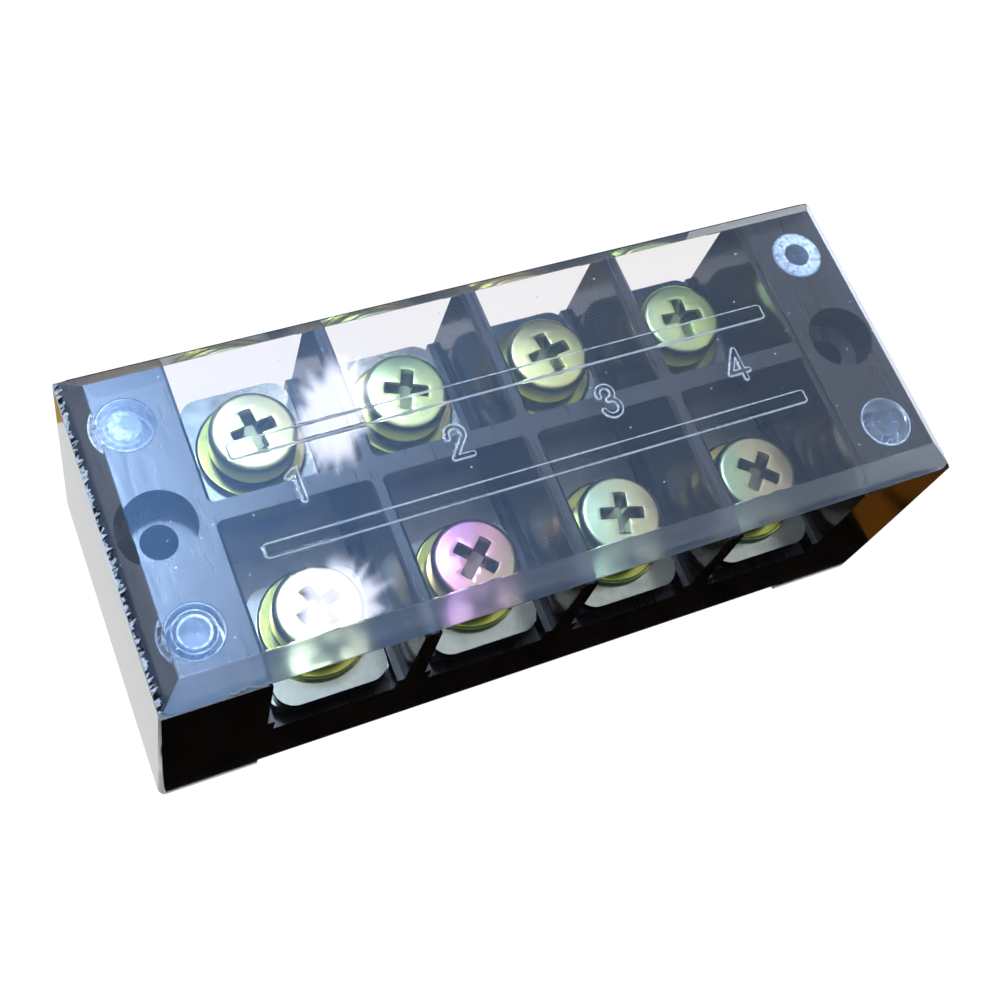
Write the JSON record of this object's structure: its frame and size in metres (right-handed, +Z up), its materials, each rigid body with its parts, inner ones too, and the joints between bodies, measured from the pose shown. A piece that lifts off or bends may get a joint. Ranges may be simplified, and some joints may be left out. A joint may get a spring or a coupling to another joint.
{
  "type": "barrier terminal strip",
  "caption": "Barrier terminal strip: a black moulded base with end mounting holes, screw clamps on conductor bars between barrier walls, and a clear cover on corner pegs.",
  "frame": {"origin": "centre of the underside of the feet", "axes": "+X along the strip towards the highest pole number, +Y towards the rear row, +Z up towards the cover"},
  "size_m": [0.1084, 0.0448, 0.0377],
  "materials": {
    "base_phenolic": "glossy moulded phenolic",
    "clear_cover": "clear moulded plastic with a faint blue tint",
    "nickel_bar": "nickel-plated",
    "zinc_plate": "bright zinc plate",
    "yellow_zinc": "yellow chromate on zinc",
    "yellow_zinc_dark": "yellow chromate on zinc"
  },
  "bodies": {
    "base": {"base": "base_phenolic", "conductor_bar_1": "nickel_bar", "conductor_bar_2": "nickel_bar", "conductor_bar_3": "nickel_bar", "conductor_bar_4": "nickel_bar"},
    "cover": {"cover": "clear_cover"},
    "clamp_f1": {"clamp_plate_f1": "zinc_plate", "flat_washer_f1": "yellow_zinc", "spring_washer_f1": "yellow_zinc_dark"},
    "screw_f1": {"terminal_screw_f1": "yellow_zinc"},
    "clamp_f2": {"clamp_plate_f2": "zinc_plate", "flat_washer_f2": "yellow_zinc", "spring_washer_f2": "yellow_zinc_dark"},
    "screw_f2": {"terminal_screw_f2": "yellow_zinc"},
    "clamp_f3": {"clamp_plate_f3": "zinc_plate", "flat_washer_f3": "yellow_zinc", "spring_washer_f3": "yellow_zinc_dark"},
    "screw_f3": {"terminal_screw_f3": "yellow_zinc"},
    "clamp_f4": {"clamp_plate_f4": "zinc_plate", "flat_washer_f4": "yellow_zinc", "spring_washer_f4": "yellow_zinc_dark"},
    "screw_f4": {"terminal_screw_f4": "yellow_zinc"},
    "clamp_r1": {"clamp_plate_r1": "zinc_plate", "flat_washer_r1": "yellow_zinc", "spring_washer_r1": "yellow_zinc_dark"},
    "screw_r1": {"terminal_screw_r1": "yellow_zinc"},
    "clamp_r2": {"clamp_plate_r2": "zinc_plate", "flat_washer_r2": "yellow_zinc", "spring_washer_r2": "yellow_zinc_dark"},
    "screw_r2": {"terminal_screw_r2": "yellow_zinc"},
    "clamp_r3": {"clamp_plate_r3": "zinc_plate", "flat_washer_r3": "yellow_zinc", "spring_washer_r3": "yellow_zinc_dark"},
    "screw_r3": {"terminal_screw_r3": "yellow_zinc"},
    "clamp_r4": {"clamp_plate_r4": "zinc_plate", "flat_washer_r4": "yellow_zinc", "spring_washer_r4": "yellow_zinc_dark"},
    "screw_r4": {"terminal_screw_r4": "yellow_zinc"}
  },
  "joints": [
    {"name": "cover_lift", "type": "slide", "parent": "base", "child": "cover", "axis": [0, 0, 1], "range_m": [0, 0.014]},
    {"name": "clamp_lift_f1", "type": "slide", "parent": "base", "child": "clamp_f1", "axis": [0, 0, 1], "range_m": [0, 0.005]},
    {"name": "screw_turn_f1", "type": "hinge", "parent": "clamp_f1", "child": "screw_f1", "pos_m": [-0.0315, -0.0125, 0.0225], "axis": [0, 0, 1], "range_deg": [0, 1800]},
    {"name": "clamp_lift_f2", "type": "slide", "parent": "base", "child": "clamp_f2", "axis": [0, 0, 1], "range_m": [0, 0.005]},
    {"name": "screw_turn_f2", "type": "hinge", "parent": "clamp_f2", "child": "screw_f2", "pos_m": [-0.0105, -0.0125, 0.0225], "axis": [0, 0, 1], "range_deg": [0, 1800]},
    {"name": "clamp_lift_f3", "type": "slide", "parent": "base", "child": "clamp_f3", "axis": [0, 0, 1], "range_m": [0, 0.005]},
    {"name": "screw_turn_f3", "type": "hinge", "parent": "clamp_f3", "child": "screw_f3", "pos_m": [0.0105, -0.0125, 0.0225], "axis": [0, 0, 1], "range_deg": [0, 1800]},
    {"name": "clamp_lift_f4", "type": "slide", "parent": "base", "child": "clamp_f4", "axis": [0, 0, 1], "range_m": [0, 0.005]},
    {"name": "screw_turn_f4", "type": "hinge", "parent": "clamp_f4", "child": "screw_f4", "pos_m": [0.0315, -0.0125, 0.0225], "axis": [0, 0, 1], "range_deg": [0, 1800]},
    {"name": "clamp_lift_r1", "type": "slide", "parent": "base", "child": "clamp_r1", "axis": [0, 0, 1], "range_m": [0, 0.005]},
    {"name": "screw_turn_r1", "type": "hinge", "parent": "clamp_r1", "child": "screw_r1", "pos_m": [-0.0315, 0.0125, 0.0225], "axis": [0, 0, 1], "range_deg": [0, 1800]},
    {"name": "clamp_lift_r2", "type": "slide", "parent": "base", "child": "clamp_r2", "axis": [0, 0, 1], "range_m": [0, 0.005]},
    {"name": "screw_turn_r2", "type": "hinge", "parent": "clamp_r2", "child": "screw_r2", "pos_m": [-0.0105, 0.0125, 0.0225], "axis": [0, 0, 1], "range_deg": [0, 1800]},
    {"name": "clamp_lift_r3", "type": "slide", "parent": "base", "child": "clamp_r3", "axis": [0, 0, 1], "range_m": [0, 0.005]},
    {"name": "screw_turn_r3", "type": "hinge", "parent": "clamp_r3", "child": "screw_r3", "pos_m": [0.0105, 0.0125, 0.0225], "axis": [0, 0, 1], "range_deg": [0, 1800]},
    {"name": "clamp_lift_r4", "type": "slide", "parent": "base", "child": "clamp_r4", "axis": [0, 0, 1], "range_m": [0, 0.005]},
    {"name": "screw_turn_r4", "type": "hinge", "parent": "clamp_r4", "child": "screw_r4", "pos_m": [0.0315, 0.0125, 0.0225], "axis": [0, 0, 1], "range_deg": [0, 1800]}
  ],
  "couplings": [
    {"joint": "screw_turn_f1", "follows": "clamp_lift_f1", "rad_per_m": 6283},
    {"joint": "screw_turn_f2", "follows": "clamp_lift_f2", "rad_per_m": 6283},
    {"joint": "screw_turn_f3", "follows": "clamp_lift_f3", "rad_per_m": 6283},
    {"joint": "screw_turn_f4", "follows": "clamp_lift_f4", "rad_per_m": 6283},
    {"joint": "screw_turn_r1", "follows": "clamp_lift_r1", "rad_per_m": 6283},
    {"joint": "screw_turn_r2", "follows": "clamp_lift_r2", "rad_per_m": 6283},
    {"joint": "screw_turn_r3", "follows": "clamp_lift_r3", "rad_per_m": 6283},
    {"joint": "screw_turn_r4", "follows": "clamp_lift_r4", "rad_per_m": 6283}
  ]
}
